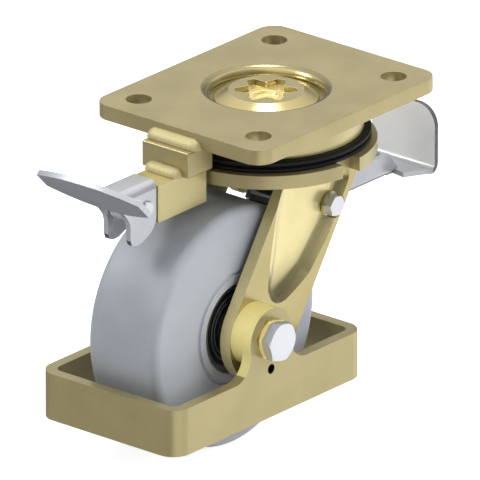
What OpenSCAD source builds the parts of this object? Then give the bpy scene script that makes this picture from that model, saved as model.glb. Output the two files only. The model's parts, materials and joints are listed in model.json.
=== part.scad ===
/* [Top plate] */
// Length of the top plate along the rolling direction
plate_x = 140; // [134:1:160]
// Width of the top plate along the axle
plate_y = 110; // [100:1:130]
// Thickness of the top plate
plate_t = 8; // [7:0.5:10]
// Corner radius of the top plate
plate_corner_r = 10; // [4:1:14]
// Distance between the bolt holes along the rolling direction
hole_x = 105; // [95:0.5:110]
// Distance between the bolt holes along the axle
hole_y = 77.5; // [72:0.5:84]
// Diameter of the bolt holes
hole_d = 13; // [9:0.5:14]
// Radius of the pressed dish round the king pin
dish_r = 33.5; // [31:0.5:36]
// Depth of the pressed dish
dish_depth = 5.5; // [4:0.5:6]
// Radius of the rounded shoulder of the dish
dish_shoulder_r = 5; // [2:0.5:5]

/* [Swivel head] */
// Diameter of the king pin's shank
pin_d = 24; // [20:1:26]
// Diameter of the king pin's head where it meets the dish
pin_head_d = 53; // [48:1:54]
// Diameter of the flat top of the king pin's head
pin_top_d = 38; // [34:1:40]
// How far the flat top of the king pin lies below the plate's top face
pin_top_drop = 1; // [0.5:0.5:2]
// Outer diameter of the upper race skirt under the plate
skirt_d = 97.5; // [94:0.5:99]
// Height of the upper race skirt
skirt_h = 11.4; // [11:0.2:13]
// Diameter of the main swivel balls
ball_d = 12; // [11:0.5:12]
// Number of main swivel balls
ball_count = 18; // [8:1:19]
// Radius of the circle that the main balls run on
ball_circle_r = 40; // [38:0.5:40]
// Gap in height between the skirt and the crown disc
head_gap = 6.1; // [6:0.1:6.6]
// Outer diameter of the black seal
seal_d = 105; // [102:0.5:107]
// Diameter of the notched crown disc
crown_d = 111; // [109:1:113]
// Thickness of the crown disc
crown_t = 7.2; // [7:0.2:9]
// Width of a locking notch in the crown disc
notch_w = 12.8; // [12.6:0.1:14]
// Depth of a locking notch in the crown disc
notch_depth = 6.8; // [6.6:0.1:7.5]
// Diameter of the lower swivel balls
low_ball_d = 7; // [6:0.5:7.5]
// Number of lower swivel balls
low_ball_count = 14; // [8:1:15]
// Radius of the circle that the lower balls run on
low_circle_r = 20; // [19:0.5:21]
// Thickness of the lower race
low_race_t = 4.5; // [4:0.5:5]
// Size of the king nut across its flats
king_nut_af = 36; // [32:1:38]
// Height of the king nut
king_nut_h = 5; // [4:0.5:5.5]

/* [Wheel and axle] */
// Overall height from the floor to the plate's top face
total_h = 170; // [168:1:176]
// Wheel diameter
wheel_d = 125; // [120:1:126]
// How far the axle trails behind the king pin
trail = 50; // [48:0.5:52]
// Wheel width
wheel_w = 45; // [42:0.5:46]
// Radius of the rounded edge between the tread and the side face
tread_edge_r = 5; // [3:0.5:8]
// Radius of the circular groove in the side face
groove_r = 28.7; // [27:0.1:32]
// Outer diameter of the wheel bearings
bearing_d = 47; // [46:0.5:48]
// Inner diameter of the wheel bearings
bearing_bore = 20; // [18:0.5:20]
// Width of one wheel bearing
bearing_w = 14; // [12:0.5:14]
// How far a bearing sits inside the wheel's side face
bearing_inset = 1.5; // [1:0.5:3]
// Diameter of the axle bolt
axle_d = 12; // [10:1:12]
// Size of the axle bolt's head across its flats
axle_af = 19; // [17:1:21]
// Height of the axle bolt's head
axle_head_h = 5.3; // [5:0.1:8]
// Thickness of the thin hexagon nut under the head
thin_nut_h = 2.5; // [2:0.1:4]
// Height of the axle nut
axle_nut_h = 9; // [8:0.5:11]

/* [Fork legs] */
// Clear width between the two legs
leg_gap = 51.2; // [50.8:0.2:53]
// Thickness of a leg
leg_t = 6.5; // [6:0.1:8]
// Depth of the scooped hollow in a leg's outer face
scoop_depth = 4.5; // [3:0.1:4.8]
// Radius of the hollow at its lower end
scoop_low_r = 10.5; // [9:0.5:11.5]
// Radius of the hollow at its upper end
scoop_high_r = 19; // [16:0.5:20]
// Radius of a leg's rounded lower end
leg_end_r = 25; // [24:0.5:27]

/* [Foot guard] */
// Outer length of the foot guard
guard_x = 147; // [143:1:152]
// Height of the guard's bar
guard_h = 25; // [22:1:28]
// Thickness of the guard's bar
guard_t = 5.8; // [5:0.1:6.5]
// Outer corner radius of the guard
guard_corner_r = 10; // [8:0.5:14]
// Clear height under the guard
guard_clear = 20.3; // [18:0.1:24]
// Radius of the guard's ear round the axle
ear_r = 16; // [14:0.5:17]
// Radius of the fillet between the ear and the bar
ear_fillet_r = 12; // [8:0.5:13]
// Thickness of the boss between a leg and the guard
boss_t = 7.2; // [6:0.2:9]
// Diameter of the small hole in the guard's bar
guard_hole_d = 5; // [3:0.5:5]

/* [Directional lock] */
// Width of the spacer block along the axle
spacer_y = 30; // [26:1:34]
// Height of the spacer block
spacer_h = 13.5; // [12:0.5:13.5]
// How far the spacer block stands out past the plate's edge
spacer_out = 8.3; // [7:0.1:10]
// Width of the lock housing along the axle
housing_y = 19; // [18:0.5:22]
// Height of the lock housing
housing_h = 19.6; // [19:0.2:22]
// Length of the lock housing
housing_x = 37; // [36:0.5:38]
// Width and height of the lock bolt's tip
tip_w = 12; // [10:0.1:12]
// Travel of the lock bolt
lock_travel = 6.4; // [6:0.1:6.5]
// Sliding clearance on each side of the lock bolt
slide_clear = 0.1; // [0.05:0.05:0.3]
// Diameter of the lock bolt's round shank
shank_d = 9.4; // [8:0.2:9.4]
// Diameter of the lever pin
lever_pin_d = 8; // [6:0.5:8]
// Thickness of the lever's sheet
sheet_t = 3; // [2:0.1:3]
// Outer width of the lever over its two cheeks
lever_w = 17.5; // [17.5:0.1:18.5]
// Turn of the lever from locking to released
lever_turn = 63; // [55:1:65]
// Half width of the lever's foot pad
pad_half_w = 33; // [28:0.5:36]

/* [Foot brake] */
// Diameter of the brake pivot tube
pivot_d = 12; // [10:0.5:12]
// Diameter of the brake pivot bolt
pivot_bolt_d = 6; // [5:0.5:8]
// Size of the brake pivot bolt's head across its flats
pivot_af = 10; // [9:0.5:11]
// Thickness of the brake pedal's sheet
pedal_t = 2.7; // [2:0.1:3]
// Width of the pedal's upright foot plate
foot_w = 41; // [36:1:42]
// Height of the pedal's upright foot plate
foot_h = 35.8; // [30:0.2:36]
// Corner radius of the foot plate
foot_corner_r = 11; // [6:0.5:12]
// Gap between the brake shoe and the tread when the brake is off
shoe_gap = 3; // [2.8:0.1:4]
// Thickness of the brake shoe
shoe_t = 3.5; // [3:0.1:4.5]
// Half width of the pedal over its two cheeks
cheek_half_w = 17; // [15:0.5:20]

/* [Hidden] */
$fn = 64;
eps = 0.01;
run_clear = 0.06;
groove_clear = 0.05;
gold = [0.69, 0.65, 0.48];
pale_gold = [0.84, 0.78, 0.55];
zinc = [0.80, 0.80, 0.79];
steel = [0.62, 0.63, 0.65];
black = [0.10, 0.10, 0.11];
nylon = [0.58, 0.60, 0.63];

// Heights, all measured from the plate's top face
plate_z = -plate_t;
skirt_z = plate_z - skirt_h;
crown_z = skirt_z - head_gap;
crown_low_z = crown_z - crown_t;
ball_z = (skirt_z + crown_z) / 2;
low_ball_z = crown_low_z - low_ball_d * 0.35;
low_race_z = low_ball_z - low_ball_d * 0.35;
low_race_low_z = low_race_z - low_race_t;
king_nut_z = low_race_low_z - king_nut_h;
axle_z = -(total_h - wheel_d / 2);
axle_x = -trail;
guard_low_z = -(total_h - guard_clear);
guard_top_z = guard_low_z + guard_h;

// Places across the castor, from the middle outwards
leg_in = leg_gap / 2;
leg_out = leg_in + leg_t;
boss_out = leg_out + boss_t;
guard_out = boss_out + guard_t;

// Directional lock
spacer_x = -plate_x / 2 - spacer_out;
spacer_x_in = -59;
spacer_z = plate_z - spacer_h;
housing_x_in = -crown_d / 2 - 2.1;
housing_face = housing_x_in - housing_x;
housing_z = spacer_z - housing_h;
lock_z = spacer_z - housing_h / 2;
tip_x = -crown_d / 2 - 1;
tip_back_x = tip_x - 9.5;
head_x = housing_face - 1.2;
spring_wall_x = housing_x_in - 24;
spring_wall_t = 3;
spring_wire = 1.1;
spring_r = tip_w / 2 - spring_wire / 2 - 0.15;
lever_gap = 0.3;
cam_low = 7.5;
lever_pin_x = housing_face - lever_gap - cam_low;
slot_end_x = lever_pin_x - lock_travel;
cheek_out = lever_w / 2;
cheek_in = cheek_out - sheet_t;
web_top = lock_z + tip_w / 2 + 3.8 + sheet_t;
pad_tilt = 43.9;

// Foot brake: its pivot in the legs, and the arm that reaches back to the foot plate
pivot_x = 15.6;
pivot_z = -59.8;
pivot_seat_y = leg_in + 2.4;
pivot_hub_clear = 0.05;
shoe_r = wheel_d / 2 + shoe_gap;
carrier_r = shoe_r + shoe_t;
shoe_from = 17;
shoe_to = 38;
arm_y = 7.5;
arm_w = 9.8;
arm_h = 12;
arm_low_z = -78.6;
arm_start_x = 29;
arm_end_x = 107.8;
foot_x = 116.4;
foot_bend_r = 3;

// The straight part of a leg's front and rear edge, and the centre of its round lower end
leg_end = [-41.3, -110.5];
leg_lean = atan2(66.4, 43.8);

module disc(r, z, h) translate([0, 0, z]) cylinder(r = r, h = h);

// A flat outline drawn in X and Z, as thick as t, from y downwards
module side(y, t) translate([0, y, 0]) rotate([90, 0, 0]) linear_extrude(t) children();

// A flat outline drawn in Y and Z, as thick as t, from x upwards
module across(x, t) translate([x, 0, 0]) rotate([90, 0, 90]) linear_extrude(t) children();

// A round bar along Y
module bar_y(r, x, z, y0, y1) translate([x, y1, z]) rotate([90, 0, 0]) cylinder(r = r, h = y1 - y0);

module round_rect(x, y, r) {
    square([x - 2 * r, y], center = true);
    square([x, y - 2 * r], center = true);
    for (i = [-1, 1], j = [-1, 1])
        translate([i * (x / 2 - r), j * (y / 2 - r)]) circle(r);
}

// A hexagon nut or head along Z with both rims chamfered, its flats af apart
module hexagon(af, h) {
    corner_r = af / sqrt(3);
    chamfer = corner_r - af / 2;
    intersection() {
        cylinder(r = corner_r, h = h, $fn = 6);
        rotate_extrude() polygon([
            [0, 0], [af / 2, 0], [corner_r, chamfer * 0.6], [corner_r, h - chamfer * 0.6],
            [af / 2, h], [0, h]
        ]);
    }
}

module hexagon_y(af, x, z, y0, h) translate([x, y0, z]) rotate([-90, 0, 0]) rotate([0, 0, 12]) hexagon(af, h);

// Balls of diameter d on a circle of radius r at height z
module ball_ring(d, r, z, count)
    for (i = [0 : count - 1]) rotate([0, 0, (i + 0.5) * 360 / count]) translate([r, 0, z]) sphere(d = d, $fn = 24);

// The round groove that balls of diameter d run in
module ball_groove(d, r, z) translate([0, 0, z]) rotate_extrude() translate([r, 0]) circle(d / 2 + groove_clear);

module place_axle() translate([axle_x, 0, axle_z]) rotate([90, 0, 0]) children();

// A six-pointed recess pressed into the king pin by its rivet die, with a deeper cup in its middle
module star_recess(depth) {
    point_r = 15.5;
    notch_r = 9.6;
    tips = [for (i = [0 : 5]) each [
        point_r * [cos(i * 60 + 3), sin(i * 60 + 3)], point_r * [cos(i * 60 + 17), sin(i * 60 + 17)],
        notch_r * [cos(i * 60 + 40), sin(i * 60 + 40)]
    ]];
    translate([0, 0, -pin_top_drop - depth]) {
        linear_extrude(depth + 1) polygon(tips);
        translate([0, 0, -2]) cylinder(r1 = 5.5, r2 = 8.3, h = depth + 2);
    }
}

module top_plate() color(gold) difference() {
    translate([0, 0, plate_z]) linear_extrude(plate_t) difference() {
        round_rect(plate_x, plate_y, plate_corner_r);
        for (i = [-1, 1], j = [-1, 1]) translate([i * hole_x / 2, j * hole_y / 2]) circle(d = hole_d);
        circle(d = pin_d + 2 * run_clear);
    }
    rotate_extrude() difference() {
        translate([0, -dish_depth]) square([dish_r, dish_depth + 1]);
        translate([dish_r, -dish_shoulder_r]) circle(dish_shoulder_r);
    }
}

module king_pin() color(gold) difference() {
    union() {
        rotate_extrude() polygon([
            [0, king_nut_z - 0.5], [pin_d / 2 - 1, king_nut_z - 0.5], [pin_d / 2, king_nut_z + 0.5],
            [pin_d / 2, -dish_depth], [pin_head_d / 2, -dish_depth], [pin_head_d / 2, -dish_depth + 0.8],
            [pin_top_d / 2 + 2.5, -pin_top_drop - 1.1], [pin_top_d / 2, -pin_top_drop], [0, -pin_top_drop]
        ]);
    }
    star_recess(3);
}

module upper_race() color(gold) difference() {
    translate([0, 0, skirt_z]) linear_extrude(skirt_h) difference() {
        circle(d = skirt_d);
        circle(r = pin_d / 2 + 6);
    }
    ball_groove(ball_d, ball_circle_r, ball_z);
}

module swivel_balls() color(steel) ball_ring(ball_d, ball_circle_r, ball_z, ball_count);

module lower_balls() color(steel) ball_ring(low_ball_d, low_circle_r, low_ball_z, low_ball_count);

module lower_race() color(steel) difference() {
    translate([0, 0, low_race_low_z]) linear_extrude(low_race_t) difference() {
        circle(r = low_circle_r + low_ball_d / 2 + 1.5);
        circle(d = pin_d + 2 * run_clear);
    }
    ball_groove(low_ball_d, low_circle_r, low_ball_z);
}

module king_nut() color(steel) translate([0, 0, king_nut_z]) difference() {
    hexagon(king_nut_af, king_nut_h);
    translate([0, 0, -1]) cylinder(d = pin_d + 2 * run_clear, h = king_nut_h + 2);
}

// A rubber ring with two lips, one under the skirt and one that brushes the crown disc
module dust_seal() {
    seal_in = ball_circle_r + ball_d / 2 + 0.4;
    seal_out = seal_d / 2;
    seal_low = crown_z + 0.2;
    color(black) rotate_extrude() polygon([
        [seal_in, skirt_z], [seal_out - 1.2, skirt_z], [seal_out, skirt_z - 0.8],
        [seal_out, skirt_z - 2.2], [seal_out - 1.6, skirt_z - 2.8], [seal_out - 1.6, skirt_z - 3.4],
        [seal_out, skirt_z - 4], [seal_out, seal_low + 0.6], [seal_out - 0.8, seal_low],
        [seal_in + 3, seal_low], [seal_in, skirt_z - 2.5]
    ]);
}

module lock_spacer() color(gold) translate([spacer_x, -spacer_y / 2, spacer_z])
    cube([spacer_x_in - spacer_x, spacer_y, spacer_h]);

// The housing is bored square for the lock bolt, with a wall inside that the spring pushes on
module lock_housing() {
    bore_w = tip_w + 2 * slide_clear;
    color(gold) translate([0, 0, lock_z]) difference() {
        translate([housing_face, -housing_y / 2, -housing_h / 2]) cube([housing_x, housing_y, housing_h]);
        translate([spring_wall_x, -bore_w / 2, -bore_w / 2]) cube([housing_x, bore_w, bore_w]);
        translate([spring_wall_x - spring_wall_t - housing_x, -bore_w / 2, -bore_w / 2])
            cube([housing_x, bore_w, bore_w]);
        translate([housing_face - 1, 0, 0]) rotate([0, 90, 0])
            cylinder(d = shank_d + 2 * slide_clear, h = housing_x + 2);
    }
}

// A rounded fillet bead along Y, laid in the corner at x and z, with round ends
module bead(x, z, r, half) intersection() {
    translate([x, 0, z]) {
        rotate([90, 0, 0]) cylinder(r = r, h = 2 * half, center = true);
        for (i = [-1, 1]) translate([0, i * half, 0]) sphere(r);
    }
    translate([x - 2 * r, -half - 2 * r, z]) cube([2 * r, 2 * half + 4 * r, 2 * r]);
}

module weld_beads() color(pale_gold) {
    bead(-plate_x / 2, plate_z, 5, spacer_y / 2 - 3);
    bead(spacer_x, spacer_z, 4.5, housing_y / 2 - 2.5);
}

module lock_bolt() {
    head_w = 2 * cheek_in - 0.9;
    color(zinc) translate([0, 0, lock_z]) {
        translate([tip_back_x, -tip_w / 2, -tip_w / 2]) cube([tip_x - tip_back_x, tip_w, tip_w]);
        translate([head_x, 0, 0]) rotate([0, 90, 0]) cylinder(d = shank_d, h = tip_back_x - head_x + eps);
        difference() {
            side(head_w / 2, head_w) union() {
                translate([slot_end_x, -tip_w / 2]) square([head_x - slot_end_x, tip_w]);
                translate([slot_end_x, 0]) circle(d = tip_w);
            }
            for (x = [slot_end_x, lever_pin_x]) translate([x, 0, 0]) rotate([90, 0, 0])
                cylinder(d = lever_pin_d + 2 * slide_clear, h = head_w + 2, center = true);
            translate([slot_end_x, -head_w, -lever_pin_d / 2 - slide_clear])
                cube([lock_travel, 2 * head_w, lever_pin_d + 2 * slide_clear]);
        }
    }
}

// The spring's turns are closed rings joined by a thin strip, as one deforming piece
module lock_spring() {
    turns = 6;
    spring_x = spring_wall_x + spring_wire / 2;
    pitch = (tip_back_x - spring_wall_x - spring_wire) / turns;
    color(steel) translate([0, 0, lock_z]) rotate([0, 90, 0]) {
        for (i = [0 : turns]) translate([0, 0, spring_x + i * pitch])
            rotate_extrude() translate([spring_r, 0]) circle(d = spring_wire, $fn = 16);
        translate([spring_r, 0, spring_x]) cylinder(d = spring_wire * 0.8, h = turns * pitch, $fn = 16);
    }
}

module lever_pin() color(zinc) bar_y(lever_pin_d / 2, lever_pin_x, lock_z, -cheek_out - 1.4, cheek_out + 1.4);

// The cheek's working edge: its reach from the pin grows by equal steps with each degree of turn,
// so that it rolls on the housing's face and draws the bolt out evenly
function cam_reach(a) = cam_low + lock_travel * a / lever_turn;
cam_rate = lock_travel / (lever_turn * PI / 180);
function cam_point(a) = [
    lever_pin_x + cam_reach(a) * cos(a) - cam_rate * sin(a),
    lock_z - cam_reach(a) * sin(a) - cam_rate * cos(a)
];

module cheek_outline() {
    foot_x = lever_pin_x - 8.5;
    front_x = lever_pin_x - 12.5;
    foot_z = lock_z - 17.6;
    difference() {
        polygon(concat(
            [[lever_pin_x + cam_low, web_top]],
            [for (a = [0 : 7 : lever_turn]) cam_point(a)],
            [
                [lever_pin_x - 4, lock_z - 17.2 * lock_travel / 6.4], [foot_x, foot_z],
                [front_x + 1.2, foot_z + 1.2], [front_x, foot_z + 4], [front_x, lock_z - 6.5],
                [front_x - 0.8, lock_z - 3.6], [front_x - 2.3, lock_z - 1.2], [front_x - 6.9, lock_z + 4.2],
                [front_x - 13, web_top - sheet_t], [front_x - 13, web_top]
            ]
        ));
        translate([lever_pin_x, lock_z]) circle(d = lever_pin_d + 2 * run_clear);
    }
}

module foot_pad() translate([lever_pin_x - 25.7, 0, lock_z + 8.2]) rotate([0, -pad_tilt, 0])
    across(0, sheet_t) intersection() {
        translate([0, 19.8 - 92.5]) circle(92.5, $fn = 128);
        translate([0, 62.3]) circle(68.3, $fn = 128);
        square([2 * pad_half_w, 60], center = true);
    }

module lock_lever() {
    bend_out = 4.5;
    color(zinc) union() {
        intersection() {
            side(cheek_out, lever_w) cheek_outline();
            across(lever_pin_x - 40, 60) difference() {
                translate([-cheek_out, web_top - 60]) union() {
                    square([lever_w, 60 - bend_out]);
                    translate([bend_out, 0]) square([lever_w - 2 * bend_out, 60]);
                    for (i = [0, 1]) translate([bend_out + i * (lever_w - 2 * bend_out), 60 - bend_out])
                        circle(bend_out);
                }
                translate([-cheek_in, web_top - 60 - 1]) square([2 * cheek_in, 61 - sheet_t]);
            }
        }
        foot_pad();
    }
}

module crown_disc() color(gold) difference() {
    translate([0, 0, crown_low_z]) linear_extrude(crown_t) difference() {
        circle(d = crown_d, $fn = 96);
        circle(d = pin_d + 2 * run_clear);
        for (i = [0 : 3]) rotate(i * 90)
            translate([crown_d / 2 - notch_depth, -notch_w / 2]) square([crown_d, notch_w]);
    }
    ball_groove(ball_d, ball_circle_r, ball_z);
    ball_groove(low_ball_d, low_circle_r, low_ball_z);
}

// The outline of a leg: a leaning band from the crown down to a round end below the axle.
// rear is how far its rear edge lies behind the middle of the round end
module leg_outline(rear) difference() {
    union() {
        translate(leg_end) circle(leg_end_r);
        intersection() {
            translate(leg_end) rotate(leg_lean) translate([0, -rear]) square([110, rear + leg_end_r]);
            translate([-150, axle_z - 30]) square([300, crown_low_z - axle_z + 30]);
        }
    }
    translate([axle_x, axle_z]) circle(d = axle_d + 0.4);
    translate([pivot_x, pivot_z]) circle(d = pivot_bolt_d + 0.4);
}

// The hollow is the hull of balls sunk into the outer face: shallow and wide along its front edge,
// deep and steep along its rear edge. Each row is x, z, the ball's radius on the face, and its depth
module scoop() {
    low_r = scoop_low_r;
    high_r = scoop_high_r;
    rows = [
        [-26.5, -88.5, low_r, 0.8], [-23.5, -76, low_r + 1, 0.75], [-10.5, -82.5, low_r - 1.5, 1],
        [4.5, -66.5, low_r - 2, 1], [high_r - 1, -46, 8, 1], [-8, -38, high_r, 0.7]
    ];
    hull() for (row = rows) {
        sunk = scoop_depth * row[3];
        r = (row[2] * row[2] + sunk * sunk) / (2 * sunk);
        translate([row[0], -leg_out + sunk - r, row[1]]) sphere(r, $fn = 40);
    }
}

module near_leg() color(gold) difference() {
    side(-leg_in, leg_t) leg_outline(leg_end_r + 1);
    scoop();
    bar_y(pivot_af * 0.66, pivot_x, pivot_z, -leg_out - 5, -pivot_seat_y);
}

module far_leg() color(gold) side(leg_out, leg_t) union() {
    leg_outline(leg_end_r - 17);
    difference() {
        union() {
            translate([pivot_x, pivot_z]) circle(8);
            translate([pivot_x - 8, pivot_z]) square([16, crown_low_z - pivot_z]);
        }
        translate([pivot_x, pivot_z]) circle(d = pivot_bolt_d + 0.4);
    }
}

module leg_bosses() color(gold) for (i = [-1, 1]) difference() {
    bar_y(ear_r, axle_x, axle_z, i > 0 ? leg_out : -boss_out, i > 0 ? boss_out : -leg_out);
    bar_y(axle_d / 2 + 0.2, axle_x, axle_z, -100, 100);
}

// Half of the ear's fillet: the corner between the ear and the bar's top edge, on the side s
module ear_fillet(s) {
    drop = axle_z - guard_top_z;
    reach = sqrt(pow(ear_r + ear_fillet_r, 2) - pow(drop - ear_fillet_r, 2));
    difference() {
        translate([axle_x, guard_top_z - 1]) polygon([
            [0, 0], [s * reach, 0], [s * reach, 1],
            [s * reach * ear_r / (ear_r + ear_fillet_r), 1 + drop - (drop - ear_fillet_r) * ear_r / (ear_r + ear_fillet_r)],
            [0, drop]
        ]);
        translate([axle_x + s * reach, guard_top_z + ear_fillet_r]) circle(ear_fillet_r);
    }
}

module foot_guard() color(gold) difference() {
    union() {
        translate([axle_x, 0, guard_low_z]) linear_extrude(guard_h) difference() {
            round_rect(guard_x, 2 * guard_out, guard_corner_r);
            round_rect(guard_x - 2 * guard_t, 2 * boss_out, guard_corner_r - guard_t);
        }
        for (y = [guard_out, -boss_out]) side(y, guard_t) {
            translate([axle_x, axle_z]) circle(ear_r);
            ear_fillet(1);
            ear_fillet(-1);
        }
    }
    bar_y(axle_d / 2 + 0.2, axle_x, axle_z, -100, 100);
    bar_y(guard_hole_d / 2, axle_x, guard_top_z + 0.9, -100, 100);
}

module axle_bolt() color(zinc) {
    head_y = -guard_out - thin_nut_h - axle_head_h;
    hexagon_y(axle_af, axle_x, axle_z, head_y, axle_head_h);
    bar_y(axle_d / 2, axle_x, axle_z, head_y + 1, guard_out + 2.5 + axle_nut_h + 3);
}

module axle_thin_nut() color(gold) difference() {
    hexagon_y(axle_af, axle_x, axle_z, -guard_out - thin_nut_h, thin_nut_h);
    bar_y(axle_d / 2 + run_clear, axle_x, axle_z, -100, 0);
}

module axle_washer() color(zinc) difference() {
    bar_y(axle_d, axle_x, axle_z, guard_out, guard_out + 2.5);
    bar_y(axle_d / 2 + run_clear, axle_x, axle_z, 0, 100);
}

module axle_nut() color(zinc) difference() {
    hexagon_y(axle_af, axle_x, axle_z, guard_out + 2.5, axle_nut_h);
    bar_y(axle_d / 2 + run_clear, axle_x, axle_z, 0, 100);
}

module axle_tube() color(steel) difference() {
    bar_y(bearing_bore / 2 - 0.05, axle_x, axle_z, -leg_in, leg_in);
    bar_y(axle_d / 2 + 0.15, axle_x, axle_z, -100, 100);
}

bearing_far = wheel_w / 2 - bearing_inset;
bearing_near = bearing_far - bearing_w;
ring_mid_r = (bearing_d + bearing_bore) / 4;
inner_ring_r = bearing_bore / 2 + 3.3;
outer_ring_r = bearing_d / 2 - 3.3;
wheel_ball_d = 7.9;

module ring_y(r_in, r_out, y0, y1) difference() {
    bar_y(r_out, axle_x, axle_z, y0, y1);
    bar_y(r_in, axle_x, axle_z, y0 - 1, y1 + 1);
}

module axle_spacers() color(steel) {
    ring_y(bearing_bore / 2, inner_ring_r - 0.4, -bearing_near, bearing_near);
    ring_y(bearing_bore / 2, inner_ring_r - 0.4, bearing_far, leg_in);
    ring_y(bearing_bore / 2, inner_ring_r - 0.4, -leg_in, -bearing_far);
}

module wheel_grooves() for (i = [-1, 1])
    translate([axle_x, i * (bearing_near + bearing_far) / 2, axle_z]) rotate([90, 0, 0])
        ball_groove(wheel_ball_d, ring_mid_r, 0);

module bearing_inner_rings() color(steel) difference() {
    for (i = [-1, 1]) ring_y(bearing_bore / 2, inner_ring_r,
        i > 0 ? bearing_near : -bearing_far, i > 0 ? bearing_far : -bearing_near);
    wheel_grooves();
}

module bearing_outer_rings() color(steel) difference() {
    for (i = [-1, 1]) ring_y(outer_ring_r, bearing_d / 2,
        i > 0 ? bearing_near : -bearing_far, i > 0 ? bearing_far : -bearing_near);
    wheel_grooves();
}

module bearing_balls() color(steel) for (i = [-1, 1])
    translate([axle_x, i * (bearing_near + bearing_far) / 2, axle_z]) rotate([90, 0, 0])
        ball_ring(wheel_ball_d, ring_mid_r, 0, 8);

module bearing_seals() color(black) for (i = [-1, 1])
    ring_y(inner_ring_r + run_clear, outer_ring_r, i > 0 ? bearing_far - 1.2 : -bearing_far + 0.2,
        i > 0 ? bearing_far - 0.2 : -bearing_far + 1.2);

// Half of the wheel's section, from its middle plane to one side face
module wheel_half() {
    tread = wheel_d / 2;
    half = wheel_w / 2;
    difference() {
        union() {
            translate([outer_ring_r - 1, 0]) square([tread - tread_edge_r - outer_ring_r + 1, half]);
            square([tread, half - tread_edge_r]);
            translate([tread - tread_edge_r, half - tread_edge_r]) circle(tread_edge_r);
        }
        translate([-1, -tread_edge_r * 2]) square([tread + 2, tread_edge_r * 2]);
        translate([-1, -1]) square([outer_ring_r + 1, half + 2]);
        translate([0, bearing_near]) square([bearing_d / 2, half]);
        translate([groove_r, half]) circle(1.2);
    }
}

module wheel() color(nylon) place_axle() rotate_extrude($fn = 128) {
    wheel_half();
    mirror([0, 1]) wheel_half();
}

module brake_pivot_bolt() color(zinc) {
    bar_y(pivot_af * 0.58, pivot_x, pivot_z, -pivot_seat_y - 1.3, -pivot_seat_y);
    hexagon_y(pivot_af, pivot_x, pivot_z, -pivot_seat_y - 5.4, 4.1);
    bar_y(pivot_bolt_d / 2, pivot_x, pivot_z, -pivot_seat_y - 1, leg_out + 7);
}

module brake_pivot_nut() color(zinc) difference() {
    hexagon_y(pivot_af, pivot_x, pivot_z, leg_out, 5);
    bar_y(pivot_bolt_d / 2 + run_clear, pivot_x, pivot_z, 0, 100);
}

module brake_pivot_tube() color(steel) difference() {
    bar_y(pivot_d / 2, pivot_x, pivot_z, -leg_in, leg_in);
    bar_y(pivot_bolt_d / 2 + 0.1, pivot_x, pivot_z, -100, 100);
}

// An arc of the ring round the wheel, from r_in to r_out, between two angles
module tread_arc(r_in, r_out, from, to) translate([axle_x, axle_z]) intersection() {
    difference() {
        circle(r_out, $fn = 128);
        circle(r_in, $fn = 128);
    }
    polygon([
        [0, 0], 1.3 * r_out * [cos(from), sin(from)],
        1.3 * r_out * [cos((from + to) / 2), sin((from + to) / 2)], 1.3 * r_out * [cos(to), sin(to)]
    ]);
}

function on_tread(r, a) = [axle_x + r * cos(a), axle_z + r * sin(a)];

// One cheek of the pedal: from the shoe's carrier, round the pivot, to the cross plate
module pedal_cheek() difference() {
    union() {
        translate([pivot_x, pivot_z]) circle(pivot_d / 2 + 3.5);
        polygon([
            on_tread(carrier_r, shoe_from - 1), on_tread(carrier_r, 28), on_tread(carrier_r, shoe_to + 1),
            [pivot_x - 6, pivot_z + 7], [pivot_x + 3, pivot_z + 8.8],
            [arm_start_x + pedal_t, arm_low_z + 22], [arm_start_x + pedal_t, arm_low_z]
        ]);
    }
    translate([axle_x, axle_z]) circle(carrier_r + 0.2, $fn = 128);
    translate([pivot_x, pivot_z]) circle(pivot_d / 2 + pivot_hub_clear);
}

// The arm is a channel, open above, whose walls end in a slanting cut before the foot plate
module pedal_arm() intersection() {
    across(arm_start_x, arm_end_x - arm_start_x) translate([arm_y, arm_low_z]) difference() {
        union() {
            translate([-arm_w / 2, 3]) square([arm_w, arm_h - 3]);
            translate([-arm_w / 2 + 3, 0]) square([arm_w - 6, arm_h]);
            for (i = [-1, 1]) translate([i * (arm_w / 2 - 3), 3]) circle(3);
        }
        translate([-arm_w / 2 + pedal_t, pedal_t]) square([arm_w - 2 * pedal_t, arm_h]);
    }
    side(arm_y + arm_w, 2 * arm_w) polygon([
        [arm_start_x, arm_low_z - 1], [arm_end_x, arm_low_z - 1], [arm_end_x, arm_low_z + 0.5],
        [arm_end_x - 9.1, arm_low_z + arm_h], [arm_start_x, arm_low_z + arm_h + 1]
    ]);
}

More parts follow.
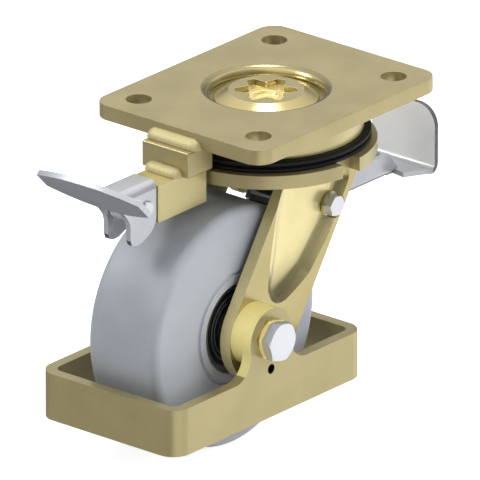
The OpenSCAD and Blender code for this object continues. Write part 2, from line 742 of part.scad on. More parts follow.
// The foot plate and its shelf are one bent strip, cut to a flared outline
module foot_plate() {
    top_z = arm_low_z + foot_h;
    near = arm_y - foot_w / 2;
    far = arm_y + foot_w / 2;
    outer_r = foot_bend_r + pedal_t;
    intersection() {
        side(far, foot_w) difference() {
            union() {
                translate([arm_end_x - 9, arm_low_z]) square([foot_x - foot_bend_r - arm_end_x + 9, pedal_t]);
                translate([foot_x, arm_low_z + outer_r]) square([pedal_t, top_z - arm_low_z - outer_r]);
                intersection() {
                    translate([foot_x - foot_bend_r, arm_low_z + outer_r]) circle(outer_r);
                    translate([foot_x - foot_bend_r, arm_low_z]) square(outer_r);
                }
            }
            translate([foot_x - foot_bend_r, arm_low_z + outer_r]) circle(foot_bend_r);
        }
        across(arm_end_x - 20, 60) union() {
            translate([near, arm_low_z - 1]) square([foot_w, top_z - arm_low_z + 1 - foot_corner_r]);
            translate([near + foot_corner_r, arm_low_z]) square([foot_w - 2 * foot_corner_r, top_z - arm_low_z]);
            for (y = [near + foot_corner_r, far - foot_corner_r])
                translate([y, top_z - foot_corner_r]) circle(foot_corner_r);
        }
        translate([0, 0, arm_low_z - 1]) linear_extrude(foot_h + 2) polygon([
            [arm_end_x - 9, arm_y - arm_w / 2 + 1], [arm_end_x - 4.5, arm_y - arm_w / 2 + 1],
            [arm_end_x - 5.5, arm_y - 11.7], [foot_x - 3.3, arm_y - 17.7], [foot_x - 1, near], [foot_x + 5, near],
            [foot_x + 5, far], [foot_x - 1, far], [foot_x - 3.3, arm_y + 17.7], [arm_end_x - 5.5, arm_y + 11.7],
            [arm_end_x - 4.5, arm_y + arm_w / 2 - 1], [arm_end_x - 9, arm_y + arm_w / 2 - 1]
        ]);
    }
}

module brake_pedal() color(zinc) difference() {
    union() {
        for (y = [cheek_half_w, -cheek_half_w + pedal_t]) side(y, pedal_t) pedal_cheek();
        side(cheek_half_w, 2 * cheek_half_w) tread_arc(carrier_r, carrier_r + pedal_t, shoe_from - 1, shoe_to + 1);
        across(arm_start_x, pedal_t) translate([-cheek_half_w, arm_low_z]) square([2 * cheek_half_w, 22]);
        pedal_arm();
        foot_plate();
    }
    shoe_rivets(0.05);
}

shoe_half_w = cheek_half_w - 2;
rivet_d = 5;

// Two rivets hold the shoe to its carrier; grow widens them into their holes
module shoe_rivets(grow) for (y = [-8, 8]) translate([axle_x, y, axle_z]) rotate([0, -(shoe_from + shoe_to) / 2, 0])
    translate([shoe_r + 1.5, 0, 0]) rotate([0, 90, 0]) {
        cylinder(d = rivet_d + 2 * grow, h = shoe_t - 1.5 + pedal_t);
        translate([0, 0, shoe_t - 1.5 + pedal_t]) cylinder(d = grow > 0 ? rivet_d : 8, h = 1.2);
    }

module brake_shoe() color(black) difference() {
    side(shoe_half_w, 2 * shoe_half_w) tread_arc(shoe_r, carrier_r, shoe_from, shoe_to);
    for (y = [-8, 8]) translate([axle_x, y, axle_z]) rotate([0, -(shoe_from + shoe_to) / 2, 0])
        translate([shoe_r + 1.5, 0, 0]) rotate([0, 90, 0]) cylinder(d = rivet_d + 0.1, h = shoe_t + 2);
}

module brake_rivets() color(steel) shoe_rivets(0);

top_plate();
king_pin();
upper_race();
swivel_balls();
lower_balls();
lower_race();
king_nut();
dust_seal();
lock_spacer();
lock_housing();
weld_beads();
lock_bolt();
lock_spring();
lever_pin();
lock_lever();
crown_disc();
near_leg();
far_leg();
leg_bosses();
foot_guard();
axle_bolt();
axle_thin_nut();
axle_washer();
axle_nut();
axle_tube();
axle_spacers();
bearing_inner_rings();
wheel();
bearing_outer_rings();
bearing_balls();
bearing_seals();
brake_pivot_bolt();
brake_pivot_nut();
brake_pivot_tube();
brake_pedal();
brake_shoe();
brake_rivets();
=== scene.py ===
# %% [markdown]
# This lesson dresses a heavy swivel castor: a bolted top plate, a swivel head with a black seal,
# two welded legs round a grey wheel, a foot guard, a foot brake and a lock that holds the fork
# straight. The solids come from the CAD model, which also fixes every size. The lesson gives them
# soft edges, smooth shading and real finishes, with painted light and shade in a few places, and
# adds the small things that a solid leaves out.

# %% Load the frame
import json
import math

import bpy
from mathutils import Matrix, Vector


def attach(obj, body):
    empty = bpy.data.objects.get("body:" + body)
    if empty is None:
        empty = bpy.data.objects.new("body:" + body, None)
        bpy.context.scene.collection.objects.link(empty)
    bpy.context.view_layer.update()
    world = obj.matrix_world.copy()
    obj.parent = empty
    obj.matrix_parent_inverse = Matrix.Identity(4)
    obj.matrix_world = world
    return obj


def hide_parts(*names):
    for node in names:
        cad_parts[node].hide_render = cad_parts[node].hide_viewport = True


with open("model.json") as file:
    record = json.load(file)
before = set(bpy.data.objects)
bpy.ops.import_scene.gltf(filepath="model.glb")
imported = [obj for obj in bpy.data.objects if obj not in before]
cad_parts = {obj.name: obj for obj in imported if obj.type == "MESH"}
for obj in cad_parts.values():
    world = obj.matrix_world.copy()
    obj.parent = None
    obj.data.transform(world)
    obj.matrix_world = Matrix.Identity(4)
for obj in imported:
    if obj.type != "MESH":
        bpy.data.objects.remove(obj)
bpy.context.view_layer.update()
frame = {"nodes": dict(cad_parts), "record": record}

MM = 0.001
record = frame["record"]
body_of_node = {
    node: body for body, nodes in record["behaviour"]["bodies"].items() for node in nodes}
slot_of_node = {part["node"]: part["material_slot"] for part in record["subparts"]}

# %% [markdown]
# The camera comes first. The picture was taken with a very long lens, so parallel edges stay
# parallel. A long lens far away gives the same look. The three arrows below are the camera's right,
# up and backward directions for a view from the front left, 22 degrees above the floor.

# %% Camera
turn = math.radians(-50)
rise = math.radians(22)
toward_camera = Vector((
    math.sin(turn) * math.cos(rise), -math.cos(turn) * math.cos(rise), math.sin(rise)))
picture_right = Vector((math.cos(turn), math.sin(turn), 0))
picture_up = toward_camera.cross(picture_right)
view_width = 238.9 * MM
lens_mm = 1500
sensor_mm = 36
view_centre = picture_right * (-13.1 * MM) + picture_up * (-75.95 * MM)
distance = lens_mm / sensor_mm * view_width
bpy.ops.object.select_all(action="DESELECT")
bpy.ops.object.camera_add(location=view_centre + toward_camera * distance)
camera = bpy.context.object
camera.name = "studio_camera"
camera.rotation_euler = toward_camera.to_track_quat("Z", "Y").to_euler()
camera.data.lens = lens_mm
camera.data.sensor_width = sensor_mm
camera.data.clip_start = 1
camera.data.clip_end = 60
bpy.context.scene.camera = camera
print("camera at", [round(v, 3) for v in camera.location])

# %% [markdown]
# Light for a product picture is soft and even. The plates of a castor show what they reflect, so
# the world has two parts. Matt surfaces get a level that is a little stronger from above and from
# the near right side, and that part comes first.

# %% A soft level for matt surfaces
world = bpy.data.worlds.new("studio_world")
bpy.context.scene.world = world
world.use_nodes = True
wn = world.node_tree.nodes
wl = world.node_tree.links
wn.clear()


def map_range(nodes, start, end, low, high):
    node = nodes.new("ShaderNodeMapRange")
    node.inputs["From Min"].default_value = start
    node.inputs["From Max"].default_value = end
    node.inputs["To Min"].default_value = low
    node.inputs["To Max"].default_value = high
    return node


heading = wn.new("ShaderNodeTexCoord")
brighter_side = (0.55, -0.6, 0.58)
soft_side = wn.new("ShaderNodeVectorMath")
soft_side.operation = "DOT_PRODUCT"
soft_side.inputs[1].default_value = brighter_side
wl.new(heading.outputs["Generated"], soft_side.inputs[0])
soft_level = map_range(wn, -1, 1, 0.4, 0.82)
wl.new(soft_side.outputs["Value"], soft_level.inputs["Value"])
soft = wn.new("ShaderNodeBackground")
soft.inputs["Color"].default_value = (0.95, 0.97, 1.0, 1)
wl.new(soft_level.outputs[0], soft.inputs["Strength"])
print("soft level is strongest towards", brighter_side)

# %% [markdown]
# Mirror-like surfaces see pale and dark cards instead. Below the horizon the cards go round the
# object, so each side of a plated part shows a grey of its own. A ramp holds their brightness. Its
# position runs once round from the -X side, through -Y, +X and +Y, and back.


# %% Cards that stand round the object, below the horizon
def grey_ramp(stops):
    ramp = wn.new("ShaderNodeValToRGB")
    bar = ramp.color_ramp.elements
    for spot, level in stops[1:-1]:
        bar.new(spot).color = (level, level, level, 1)
    for element, (spot, level) in ((bar[0], stops[0]), (bar[-1], stops[-1])):
        element.position = spot
        element.color = (level, level, level, 1)
    return ramp


around = wn.new("ShaderNodeTexGradient")
around.gradient_type = "RADIAL"
wl.new(heading.outputs["Generated"], around.inputs["Vector"])
low_cards = grey_ramp([
    (0.0, 0.38), (0.08, 0.36), (0.13, 0.95), (0.19, 1.0), (0.25, 0.9), (0.31, 0.7), (0.389, 0.88),
    (0.425, 1.0), (0.48, 0.95), (0.54, 0.3), (0.75, 0.22), (0.889, 0.4), (1.0, 0.38),
])
wl.new(around.outputs["Fac"], low_cards.inputs["Fac"])
print("stops of the low cards:", len(low_cards.color_ramp.elements))

# %% [markdown]
# Above the horizon the cards go from dark low down to pale overhead, and the near side is darker.
# This dark strip gives round and pressed parts the contrast that makes them look like metal.

# %% Cards overhead
apart = wn.new("ShaderNodeSeparateXYZ")
wl.new(heading.outputs["Generated"], apart.inputs[0])
high_cards = grey_ramp([(0.0, 0.15), (0.27, 0.2), (0.37, 0.46), (0.8, 0.9), (1.0, 0.9)])
wl.new(apart.outputs["Z"], high_cards.inputs["Fac"])
near_side = map_range(wn, -0.7, -0.35, 0.35, 1)
wl.new(apart.outputs["Y"], near_side.inputs["Value"])
shaded_high = wn.new("ShaderNodeVectorMath")
shaded_high.operation = "SCALE"
wl.new(high_cards.outputs["Color"], shaded_high.inputs[0])
wl.new(near_side.outputs[0], shaded_high.inputs["Scale"])
print("stops of the high cards:", len(high_cards.color_ramp.elements))

# %% [markdown]
# The two sets of cards blend a little below the horizon. Each kind of ray then gets its own world:
# the cards for mirror reflections, plain white for the camera, and the soft level for the rest.

# %% One world for each kind of ray
above = map_range(wn, -0.34, -0.14, 0, 1)
wl.new(apart.outputs["Z"], above.inputs["Value"])
all_cards = wn.new("ShaderNodeMix")
all_cards.data_type = "RGBA"
wl.new(above.outputs[0], all_cards.inputs[0])
wl.new(low_cards.outputs["Color"], all_cards.inputs[6])
wl.new(shaded_high.outputs[0], all_cards.inputs[7])
cards = wn.new("ShaderNodeBackground")
cards.inputs["Strength"].default_value = 1.65
wl.new(all_cards.outputs[2], cards.inputs["Color"])
white = wn.new("ShaderNodeBackground")
white.inputs["Color"].default_value = (1, 1, 1, 1)

rays = wn.new("ShaderNodeLightPath")
glossy_mix = wn.new("ShaderNodeMixShader")
wl.new(rays.outputs["Is Glossy Ray"], glossy_mix.inputs[0])
wl.new(soft.outputs[0], glossy_mix.inputs[1])
wl.new(cards.outputs[0], glossy_mix.inputs[2])
world_mix = wn.new("ShaderNodeMixShader")
wl.new(rays.outputs["Is Camera Ray"], world_mix.inputs[0])
wl.new(glossy_mix.outputs[0], world_mix.inputs[1])
wl.new(white.outputs[0], world_mix.inputs[2])
world_out = wn.new("ShaderNodeOutputWorld")
wl.new(world_mix.outputs[0], world_out.inputs[0])
bpy.context.scene.view_settings.view_transform = "Standard"
print("world nodes:", len(wn))

# %% [markdown]
# The large near lamp makes the near faces the brightest, and a low one on the right fills in. Both
# are hidden from mirror reflections, which would show them as hard spots. The lamps above and
# behind draw the bright line along each rounded edge. A narrow spot lamp picks out the axle's boss.


# %% Lamps
def new_lamp(kind, name, place, aim, power):
    bpy.ops.object.select_all(action="DESELECT")
    bpy.ops.object.light_add(type=kind, location=place)
    lamp = bpy.context.object
    lamp.name = name
    lamp.data.energy = power
    lamp.rotation_euler = (Vector(place) - Vector(aim)).to_track_quat("Z", "Y").to_euler()
    return lamp


def soft_lamp(name, place, aim, size, power, in_mirrors=True):
    lamp = new_lamp("AREA", name, place, aim, power)
    lamp.data.shape = "DISK"
    lamp.data.size = size
    lamp.visible_glossy = in_mirrors


soft_lamp("near_lamp", (0.62, -1.15, 0.55), (0, 0, -0.08), 1.5, 17, in_mirrors=False)
soft_lamp("top_lamp", (0.18, 0.14, 1.0), (0, 0, 0), 0.34, 3.2)
soft_lamp("back_lamp", (-0.66, 0.72, 0.7), (-0.03, 0, -0.06), 0.4, 5)
soft_lamp("side_lamp", (0.95, -0.3, 0.12), (0, -0.03, -0.07), 0.5, 2.2, in_mirrors=False)
boss_spot = new_lamp("SPOT", "boss_spot", (-0.62, -0.12, 0.28), (-0.058, -0.037, -0.106), 8)
boss_spot.data.spot_size = math.radians(4.4)
boss_spot.data.spot_blend = 1
boss_spot.data.shadow_soft_size = 0.02

# %% [markdown]
# The floor is a pale sheet just under the wheel. It adds a little of its own light where the
# camera looks at it, so that it reads as white but still keeps the soft shadow of the castor. It is
# left out of mirror reflections, where the cards of the world stand in for it.

# %% Floor
floor_z = -170.3 * MM
floor_grey = 0.6
floor_own_light = 0.8
bpy.ops.object.select_all(action="DESELECT")
bpy.ops.mesh.primitive_grid_add(
    x_subdivisions=4, y_subdivisions=4, size=6, location=(0, 0, floor_z))
floor = bpy.context.object
floor.name = "studio_floor"
floor_paint = bpy.data.materials.new("floor_paint")
floor_paint.use_nodes = True
fn = floor_paint.node_tree.nodes
fl = floor_paint.node_tree.links
floor_bsdf = fn["Principled BSDF"]
floor_bsdf.inputs["Base Color"].default_value = (floor_grey, floor_grey, floor_grey, 1)
floor_bsdf.inputs["Roughness"].default_value = 0.9
floor_rays = fn.new("ShaderNodeLightPath")
glow_level = fn.new("ShaderNodeMath")
glow_level.operation = "MULTIPLY"
glow_level.inputs[1].default_value = floor_own_light
fl.new(floor_rays.outputs["Is Camera Ray"], glow_level.inputs[0])
floor_glow = fn.new("ShaderNodeEmission")
floor_glow.inputs["Color"].default_value = (1, 1, 1, 1)
fl.new(glow_level.outputs[0], floor_glow.inputs["Strength"])
floor_add = fn.new("ShaderNodeAddShader")
fl.new(floor_bsdf.outputs[0], floor_add.inputs[0])
fl.new(floor_glow.outputs[0], floor_add.inputs[1])
fl.new(floor_add.outputs[0], fn["Material Output"].inputs["Surface"])
floor.data.materials.append(floor_paint)
floor.visible_glossy = False
print("floor at", floor.location.z)

# %% [markdown]
# Every finish starts from one shader. Its colour wanders a little between two tones, its gloss
# wanders too, and a fine bump breaks the reflections. Sizes of a pattern are given in millimetres
# and read from Object coordinates, because every piece keeps its place in its mesh.


# %% A finish with wandering tone and a fine bump
def srgb(r, g, b):
    bright = [((c / 255 + 0.055) / 1.055) ** 2.4 for c in (r, g, b)]
    dark = [c / 255 / 12.92 for c in (r, g, b)]
    return [high if c > 10 else low for c, high, low in zip((r, g, b), bright, dark)] + [1]


def finish(name, tone_a, tone_b, patch_mm, metallic, gloss, grain_mm, grain_depth_mm):
    mat = bpy.data.materials.new(name)
    mat.use_nodes = True
    nodes = mat.node_tree.nodes
    links = mat.node_tree.links
    shader = nodes["Principled BSDF"]
    shader.inputs["Metallic"].default_value = metallic
    coords = nodes.new("ShaderNodeTexCoord")

    patches = nodes.new("ShaderNodeTexNoise")
    patches.inputs["Scale"].default_value = 1000 / patch_mm
    patches.inputs["Detail"].default_value = 5
    links.new(coords.outputs["Object"], patches.inputs["Vector"])
    tones = nodes.new("ShaderNodeValToRGB")
    tones.color_ramp.elements[0].position = 0.32
    tones.color_ramp.elements[0].color = srgb(*tone_a)
    tones.color_ramp.elements[1].position = 0.68
    tones.color_ramp.elements[1].color = srgb(*tone_b)
    links.new(patches.outputs["Fac"], tones.inputs["Fac"])
    links.new(tones.outputs["Color"], shader.inputs["Base Color"])
    sheen = map_range(nodes, 0.3, 0.7, gloss[0], gloss[1])
    links.new(patches.outputs["Fac"], sheen.inputs["Value"])
    links.new(sheen.outputs[0], shader.inputs["Roughness"])

    grain = nodes.new("ShaderNodeTexNoise")
    grain.inputs["Scale"].default_value = 1000 / grain_mm
    grain.inputs["Detail"].default_value = 3
    links.new(coords.outputs["Object"], grain.inputs["Vector"])
    bump = nodes.new("ShaderNodeBump")
    bump.name = "bump"
    bump.inputs["Strength"].default_value = 0.6
    bump.inputs["Distance"].default_value = grain_depth_mm * MM
    links.new(grain.outputs["Fac"], bump.inputs["Height"])
    links.new(bump.outputs["Normal"], shader.inputs["Normal"])
    return mat


print("a colour in the shader's scale:", [round(v, 3) for v in srgb(165, 153, 110)])

# %% [markdown]
# The steel parts are zinc plated and passivated yellow, which dries to an olive gold with a soft
# satin shine. Pressed and turned parts are smoother and more mirror-like than the rolled plate.
# The lever, the pedal and the fasteners have a bright silver zinc. The wheel is cast nylon. Some
# finishes are paler than real plating, such as those of the foot plate's face and of the turned
# parts on the axle. They match how bright these places look in the picture, and so are painted
# light and painted highlights. Other rows carry painted light or shade too, and each says so.
# Each row gives a name, two tones, the size of the patches, how metallic it is, the gloss from
# and to, and the size and depth of the grain.

# %% The finishes
finish_rows = (
    ("yellow_zinc", (165, 153, 110), (175, 163, 119), 26, 0.62, (0.30, 0.35), 1.1, 0.006),
    ("bright_yellow_zinc", (178, 164, 114), (188, 174, 122), 14, 0.85, (0.18, 0.22), 2.5, 0.002),
    ("smooth_yellow_zinc", (174, 161, 112), (184, 171, 121), 20, 0.75, (0.25, 0.28), 1.4, 0.001),
    # A painted highlight: pale gold for the bosses, the thin nut and the rim of the guard's ear.
    ("pale_painted_highlight", (248, 230, 148), (252, 236, 158), 12, 0.25, (0.2, 0.24), 2.0, 0.002),
    # A painted highlight: pale gold for the recess in the king pin.
    ("recess_painted_highlight", (240, 220, 146), (248, 230, 158), 6, 0.5, (0.14, 0.18), 2.0, 0.002),
    # Painted shade: a darker tone for the dish in the plate, which is also smoother.
    ("dish_painted_shade", (142, 132, 96), (150, 140, 102), 14, 0.85, (0.2, 0.24), 2.0, 0.002),
    # Painted light: a paler tone for the edge of the near leg that faces -X.
    ("leg_edge_painted_light", (206, 193, 140), (214, 201, 150), 9, 0.4, (0.36, 0.42), 0.9, 0.01),
    # Painted light: a lighter copy of the yellow zinc for the race and the housing.
    ("housing_painted_light_zinc", (190, 178, 128), (198, 186, 136), 20, 0.6, (0.3, 0.35), 1.1, 0.006),
    ("weld_metal", (192, 180, 128), (202, 190, 138), 5, 0.2, (0.48, 0.55), 0.8, 0.015),
    ("pedal_zinc", (166, 168, 172), (174, 176, 180), 30, 0.5, (0.27, 0.29), 2.4, 0.0005),
    # Painted light: near white for the face of the foot plate that faces -X.
    ("foot_plate_painted_light", (250, 249, 247), (252, 251, 249), 30, 0.05, (0.3, 0.34), 2.4, 0.0005),
    ("silver_zinc", (200, 202, 207), (208, 210, 214), 24, 0.7, (0.22, 0.25), 2.4, 0.0005),
    ("lever_zinc", (178, 180, 184), (186, 188, 192), 24, 0.5, (0.26, 0.29), 2.4, 0.0005),
    # Painted shade: a darker grey for the underside of the lever's pad.
    ("lever_pad_painted_shade", (134, 137, 143), (144, 147, 153), 24, 0.2, (0.42, 0.48), 1.2, 0.004),
    # Painted shade on edges and undersides of the sheet parts; on the rings of the wheel's seals
    # the same grey is a painted sheen.
    ("painted_shade_and_sheen_grey", (76, 78, 82), (92, 94, 98), 3, 0.4, (0.4, 0.5), 0.6, 0.01),
    # A near-black tone for the spacers and inner rings on the axle.
    ("near_black_steel", (34, 34, 37), (46, 46, 49), 5, 0.4, (0.4, 0.5), 0.8, 0.006),
    ("bearing_steel", (150, 152, 155), (170, 172, 175), 8, 0.9, (0.28, 0.36), 0.9, 0.01),
    ("black_rubber", (10, 10, 12), (16, 16, 18), 6, 0.0, (0.5, 0.62), 0.7, 0.01),
    ("cast_nylon", (160, 164, 171), (166, 170, 176), 16, 0.0, (0.42, 0.52), 0.8, 0.01),
)
finishes = {row[0]: finish(*row) for row in finish_rows}
rubber_shader = finishes["black_rubber"].node_tree.nodes["Principled BSDF"]
rubber_shader.inputs["Specular IOR Level"].default_value = 0.3
print("finishes:", list(finishes))

# %% [markdown]
# A weld bead is laid down in small steps, which leave ripples across it. A wave pattern adds them
# on top of the fine bump that the finish already has.

# %% Ripples on the weld beads
weld_nodes = finishes["weld_metal"].node_tree.nodes
weld_links = finishes["weld_metal"].node_tree.links
weld_coords = weld_nodes.new("ShaderNodeTexCoord")
ripple = weld_nodes.new("ShaderNodeTexWave")
ripple.bands_direction = "Y"
ripple.inputs["Scale"].default_value = 110
ripple.inputs["Distortion"].default_value = 2.5
weld_links.new(weld_coords.outputs["Object"], ripple.inputs["Vector"])
ripple_bump = weld_nodes.new("ShaderNodeBump")
ripple_bump.inputs["Strength"].default_value = 0.3
ripple_bump.inputs["Distance"].default_value = 0.25 * MM
weld_links.new(ripple.outputs["Fac"], ripple_bump.inputs["Height"])
weld_links.new(weld_nodes["bump"].outputs["Normal"], ripple_bump.inputs["Normal"])
weld_links.new(ripple_bump.outputs["Normal"], weld_nodes["Principled BSDF"].inputs["Normal"])
print("weld ripples, distance:", ripple_bump.inputs["Distance"].default_value)

# %% [markdown]
# The low end of the near leg's hollow looks darker in the picture. That is most likely a
# reflection, and the flat facets of the model don't give it. So this finish is a painted
# reflection: a copy of the smooth finish is made brighter, a painted highlight, and its tone is
# then scaled down towards the low end, a painted shade.

# %% A painted reflection that darkens towards the low end of the hollow
dark_low_z = -99 * MM
dark_high_z = -73 * MM
hollow_painted_reflection = finishes["smooth_yellow_zinc"].copy()
hollow_painted_reflection.name = "hollow_painted_reflection_zinc"
finishes[hollow_painted_reflection.name] = hollow_painted_reflection
hn = hollow_painted_reflection.node_tree.nodes
hl = hollow_painted_reflection.node_tree.links
hollow_tones = hn["Color Ramp"]
hollow_tones.color_ramp.elements[0].color = srgb(208, 195, 142)
hollow_tones.color_ramp.elements[1].color = srgb(216, 203, 150)
hollow_place = hn.new("ShaderNodeTexCoord")
hollow_parts = hn.new("ShaderNodeSeparateXYZ")
hl.new(hollow_place.outputs["Object"], hollow_parts.inputs[0])
dark_level = map_range(hn, dark_low_z, dark_high_z, 0.38, 1)
dark_level.interpolation_type = "SMOOTHSTEP"
hl.new(hollow_parts.outputs["Z"], dark_level.inputs["Value"])
darker = hn.new("ShaderNodeVectorMath")
darker.operation = "SCALE"
hl.new(hollow_tones.outputs["Color"], darker.inputs[0])
hl.new(dark_level.outputs[0], darker.inputs["Scale"])
hl.new(darker.outputs[0], hn["Principled BSDF"].inputs["Base Color"])
print("darker from z", dark_high_z, "down to", dark_low_z)

# %% [markdown]
# Each node has a slot in the part's record, and each slot a finish. In the picture some nodes look
# a little different from the rest of their slot, so they are listed with a finish of their own.
# For the bosses and the thin nut it is a painted highlight, for the race and the housing painted
# light; the spacers and inner rings on the axle are near black.

# %% Which finish goes where
finish_of_slot = {
    "gold_zinc": "yellow_zinc",
    "weld": "weld_metal",
    "silver_zinc": "silver_zinc",
    "bearing_steel": "bearing_steel",
    "black_rubber": "black_rubber",
    "grey_nylon": "cast_nylon",
}
finish_of_node = {
    "king_pin": "bright_yellow_zinc",
    "near_leg": "smooth_yellow_zinc",
    # The bosses and the thin nut get a painted highlight.
    "leg_bosses": "pale_painted_highlight",
    "axle_thin_nut": "pale_painted_highlight",
    # The race and the housing get painted light.
    "upper_race": "housing_painted_light_zinc",
    "lock_housing": "housing_painted_light_zinc",
    "axle_spacers": "near_black_steel",
    "bearing_inner_rings": "near_black_steel",
    "brake_pedal": "pedal_zinc",
    "lock_lever": "lever_zinc",
}
print("nodes with a finish of their own:", len(finish_of_node))

# %% [markdown]
# A CAD solid arrives as loose triangles with knife-sharp edges. A real plated edge is slightly
# round and catches the light. So each solid that shows is copied, its points are merged, flat areas
# are joined into single faces, and a narrow bevel rounds the edges. Smooth shading by angle then
# keeps the round faces round, and weighted normals keep the large faces flat right up to their
# rounded edges. The copy stands for the node.


# %% Tools for copying and rounding
def only(piece):
    bpy.ops.object.select_all(action="DESELECT")
    piece.select_set(True)
    bpy.context.view_layer.objects.active = piece


def settle(piece, node, coat=None):
    body = body_of_node[node]
    coat = coat or finish_of_node.get(node) or finish_of_slot[slot_of_node[node]]
    piece.data.materials.clear()
    piece.data.materials.append(finishes[coat])
    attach(piece, body)


def merged_copy(node):
    only(frame["nodes"][node])
    bpy.ops.object.duplicate()
    piece = bpy.context.object
    piece.parent = None
    piece.name = node + "_dressed"
    only(piece)
    bpy.ops.object.mode_set(mode="EDIT")
    bpy.ops.mesh.select_all(action="SELECT")
    bpy.ops.mesh.remove_doubles(threshold=0.004 * MM)
    bpy.ops.mesh.dissolve_limited(angle_limit=math.radians(0.6))
    bpy.ops.object.mode_set(mode="OBJECT")
    return piece


def rounded_copy(node, edge_mm, smooth_deg):
    piece = merged_copy(node)
    if edge_mm:
        soften = piece.modifiers.new("soft_edges", "BEVEL")
        soften.width = edge_mm * MM
        soften.segments = 2
        soften.limit_method = "ANGLE"
        soften.angle_limit = math.radians(38)
        soften.use_clamp_overlap = True
        bpy.ops.object.modifier_apply(modifier=soften.name)
    bpy.ops.object.shade_smooth_by_angle(angle=math.radians(smooth_deg))
    flat_first = piece.modifiers.new("flat_faces_first", "WEIGHTED_NORMAL")
    flat_first.keep_sharp = True
    flat_first.weight = 80
    bpy.ops.object.modifier_apply(modifier=flat_first.name)
    settle(piece, node)
    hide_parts(node)
    return piece


print("bodies:", sorted(set(body_of_node.values())))

# %% [markdown]
# The widths below are in millimetres. Thick plates have the widest rounding and small turned parts
# the narrowest. The weld beads are round already. The facets of the king pin's recess stay crisp,
# so that one piece is smoothed over small angles only.

# %% Round the edges of every solid that shows
smooth_angle = 32
crisp_angle = 14
edge_of_node = {
    "top_plate": 0.7, "upper_race": 0.5, "king_pin": 0.5, "dust_seal": 0.2, "lock_spacer": 0.8,
    "lock_housing": 0.8, "weld_beads": 0, "lock_bolt": 0.5, "lever_pin": 0.5, "lock_lever": 0.4,
    "crown_disc": 0.7, "near_leg": 0.6, "far_leg": 0.6, "leg_bosses": 0.12, "foot_guard": 0.5,
    "axle_bolt": 0.3, "axle_thin_nut": 0.2, "axle_washer": 0.3, "axle_nut": 0.3, "wheel": 0.4,
    "bearing_outer_rings": 0.3, "bearing_inner_rings": 0.3, "bearing_seals": 0.2,
    "axle_spacers": 0.2, "brake_pivot_bolt": 0.2, "brake_pivot_nut": 0.2, "brake_pivot_tube": 0.3,
    "brake_pedal": 0.4, "brake_shoe": 0.4, "brake_rivets": 0.3, "king_nut": 0.3, "lower_race": 0.3,
}
dressed = {}
for node, edge in edge_of_node.items():
    dressed[node] = rounded_copy(node, edge, crisp_angle if node == "king_pin" else smooth_angle)
    print(node, "faces:", len(dressed[node].data.polygons))

# %% [markdown]
# The lock bolt slides right under the rubber seal, and in the model their faces share one plane.
# Rubber gives way, so the seal is lifted by a hair and the two no longer touch in any pose.

# %% Room between the seal and the lock bolt
seal = dressed["dust_seal"]
only(seal)
bpy.ops.object.mode_set(mode="EDIT")
bpy.ops.mesh.select_all(action="SELECT")
bpy.ops.transform.translate(value=(0, 0, 0.12 * MM))
bpy.ops.object.mode_set(mode="OBJECT")
print("seal lifted to z", round(min(v.co.z for v in seal.data.vertices), 5))

# %% [markdown]
# A few solids are wholly hidden inside the others. They need no rounding and take the plain finish
# of bearing steel.

# %% Finish the hidden solids as they are
for node in ("swivel_balls", "lower_balls", "bearing_balls", "lock_spring", "axle_tube"):
    solid = frame["nodes"][node]
    solid.data.materials.clear()
    solid.data.materials.append(finishes["bearing_steel"])
    print(node, "finished in bearing steel")

# %% [markdown]
# One piece of steel can show more than one finish. A cut edge of sheet steel is rougher than its
# faces, and a pressed dish is smoother than the plate round it. The darker tones given to the
# edges, to the undersides of the sheet parts and to the dish are painted shade. The helper below
# adds a finish to a piece and gives it to the faces that pass a test. A test gets the middle of a
# face in millimetres, c, and its normal, n.


# %% A finish for some faces of a piece
def face_finish(node, coat, test):
    piece = dressed[node]
    piece.data.materials.append(finishes[coat])
    place = len(piece.data.materials) - 1
    chosen = [face for face in piece.data.polygons if test(face.center / MM, face.normal)]
    for face in chosen:
        face.material_index = place
    print(node, coat, "faces:", len(chosen))


def on_foot_plate(c):
    return c.x > 115.5 and c.z > -74.5


# %% Painted shade on edges and undersides of the foot brake and the lever, painted light on the foot plate's face
# Painted light: the face of the foot plate that faces -X is near white.
face_finish("brake_pedal", "foot_plate_painted_light", lambda c, n: on_foot_plate(c) and n.x <= -0.5)
# Painted shade: dark grey on the foot plate's edges and on the downward faces of the arm.
face_finish("brake_pedal", "painted_shade_and_sheen_grey", lambda c, n: on_foot_plate(c) and abs(n.x) < 0.5)
face_finish("brake_pedal", "painted_shade_and_sheen_grey", lambda c, n: 40 < c.x < 112 and -0.95 < n.z < -0.3)
# Painted shade: the underside of the lever's pad is darker.
face_finish("lock_lever", "lever_pad_painted_shade", lambda c, n: n.x < -0.6 and n.z < -0.6)
# Painted shade: dark grey on the lever's edges low down.
face_finish("lock_lever", "painted_shade_and_sheen_grey", lambda c, n: c.z < -44 and abs(n.y) < 0.5 and c.x > -118)

# %% [markdown]
# The dish in the plate, the head of the king pin, the hollow and the edge of the near leg, and the
# rim of the guard's near ear get finishes of their own too. The dish's darker tone is painted
# shade, the pale recess of the king pin and the pale rim of the ear are painted highlights, the
# hollow is a painted reflection and the leg's edge is painted light. The inside of the guard's
# holes is black, a painted shade.


# %% Tests for the dish, the king pin, the hollow and the guard
pin_top = max(v.co.z for v in dressed["king_pin"].data.vertices) / MM
guard_hole_x = -50
guard_hole_z = -123.8


def in_dish(c, n):
    return c.xy.length < 34 and c.z > -7 and (n.z < 0.995 or c.z < -0.3)


def on_dish_wall(c, n):
    return c.xy.length < 34 and -7 < c.z < -0.3 and 0.05 < n.z < 0.75


def on_pin_rim(c, n):
    return n.z > 0.99 and c.z > pin_top - 0.2


def in_pin_recess(c, n):
    return c.xy.length < 11 and c.z > pin_top - 6 and not on_pin_rim(c, n)


def in_hollow(c, n):
    return c.y > -31.95 and n.y < -0.3 and -45 < c.x < 18 and -100 < c.z < -46


def in_guard_hole(c, n):
    return math.hypot(c.x - guard_hole_x, c.z - guard_hole_z) < 3


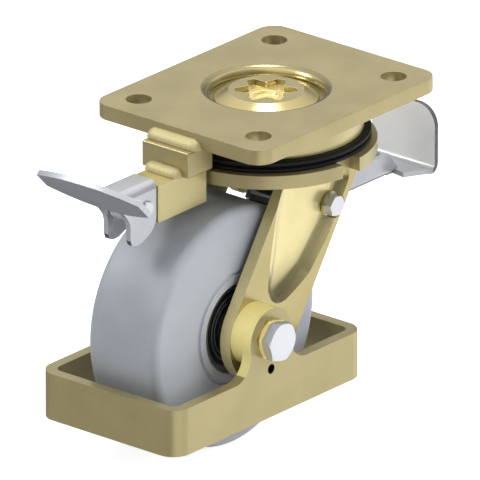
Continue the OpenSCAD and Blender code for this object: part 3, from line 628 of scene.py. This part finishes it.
def on_ear_rim(c, n):
    rim = (n.x < -0.25 or n.z > 0.2) and abs(n.y) < 0.6
    return rim and -75 < c.x < -26 and c.y < -38.5 and c.z > -122


print("top of the king pin:", round(pin_top, 2), "mm")

# %% Finish those faces
# Painted shade: the dish is darker than the plate.
face_finish("top_plate", "dish_painted_shade", in_dish)
face_finish("top_plate", "bright_yellow_zinc", on_dish_wall)
face_finish("king_pin", "yellow_zinc", on_pin_rim)
# Painted highlight: the recess of the king pin is pale gold.
face_finish("king_pin", "recess_painted_highlight", in_pin_recess)
# Painted reflection: the hollow is brighter, and darker towards its low end.
face_finish("near_leg", "hollow_painted_reflection_zinc", in_hollow)
# Painted light: the near leg's edge that faces -X is paler.
face_finish("near_leg", "leg_edge_painted_light", lambda c, n: n.x < -0.15 and abs(n.y) < 0.3)
# Painted shade: the inside of the guard's hole is black.
face_finish("foot_guard", "black_rubber", in_guard_hole)
# Painted highlight: the rim of the guard's near ear is pale gold.
face_finish("foot_guard", "pale_painted_highlight", on_ear_rim)

# %% [markdown]
# Small things that the solids leave out are made from primitives: a plated washer under the head
# of the brake's bolt, and two raised rings on each rubber seal of the wheel. A primitive is made at
# the world's centre, moved into place in edit mode, and so keeps its origin at the centre.


# %% A washer and the rings on the seals
def fresh(name, node, coat, move):
    piece = bpy.context.object
    piece.name = name
    only(piece)
    bpy.ops.object.mode_set(mode="EDIT")
    bpy.ops.mesh.select_all(action="SELECT")
    bpy.ops.transform.rotate(value=math.radians(90), orient_axis="X")
    bpy.ops.transform.translate(value=[v * MM for v in move])
    bpy.ops.object.mode_set(mode="OBJECT")
    bpy.ops.object.shade_smooth_by_angle(angle=math.radians(smooth_angle))
    settle(piece, node, coat)
    return piece


bpy.ops.object.select_all(action="DESELECT")
bpy.ops.mesh.primitive_cylinder_add(vertices=48, radius=6.7 * MM, depth=1.2 * MM)
washer_place = (15.6, -28.65, -59.8)
small_pieces = [fresh("pivot_washer", "brake_pivot_bolt", "bright_yellow_zinc", washer_place)]
for side in (-1, 1):
    for ring_r in (15.2, 17.4):
        bpy.ops.object.select_all(action="DESELECT")
        bpy.ops.mesh.primitive_torus_add(
            major_radius=ring_r * MM, minor_radius=0.4 * MM, major_segments=96, minor_segments=10)
        ring_place = (-50, side * 20.9, -107.5)
        # The grey of these rings is a painted sheen on the rubber.
        small_pieces.append(fresh("seal_ring", "bearing_seals", "painted_shade_and_sheen_grey", ring_place))
print("small pieces:", [piece.name for piece in small_pieces])
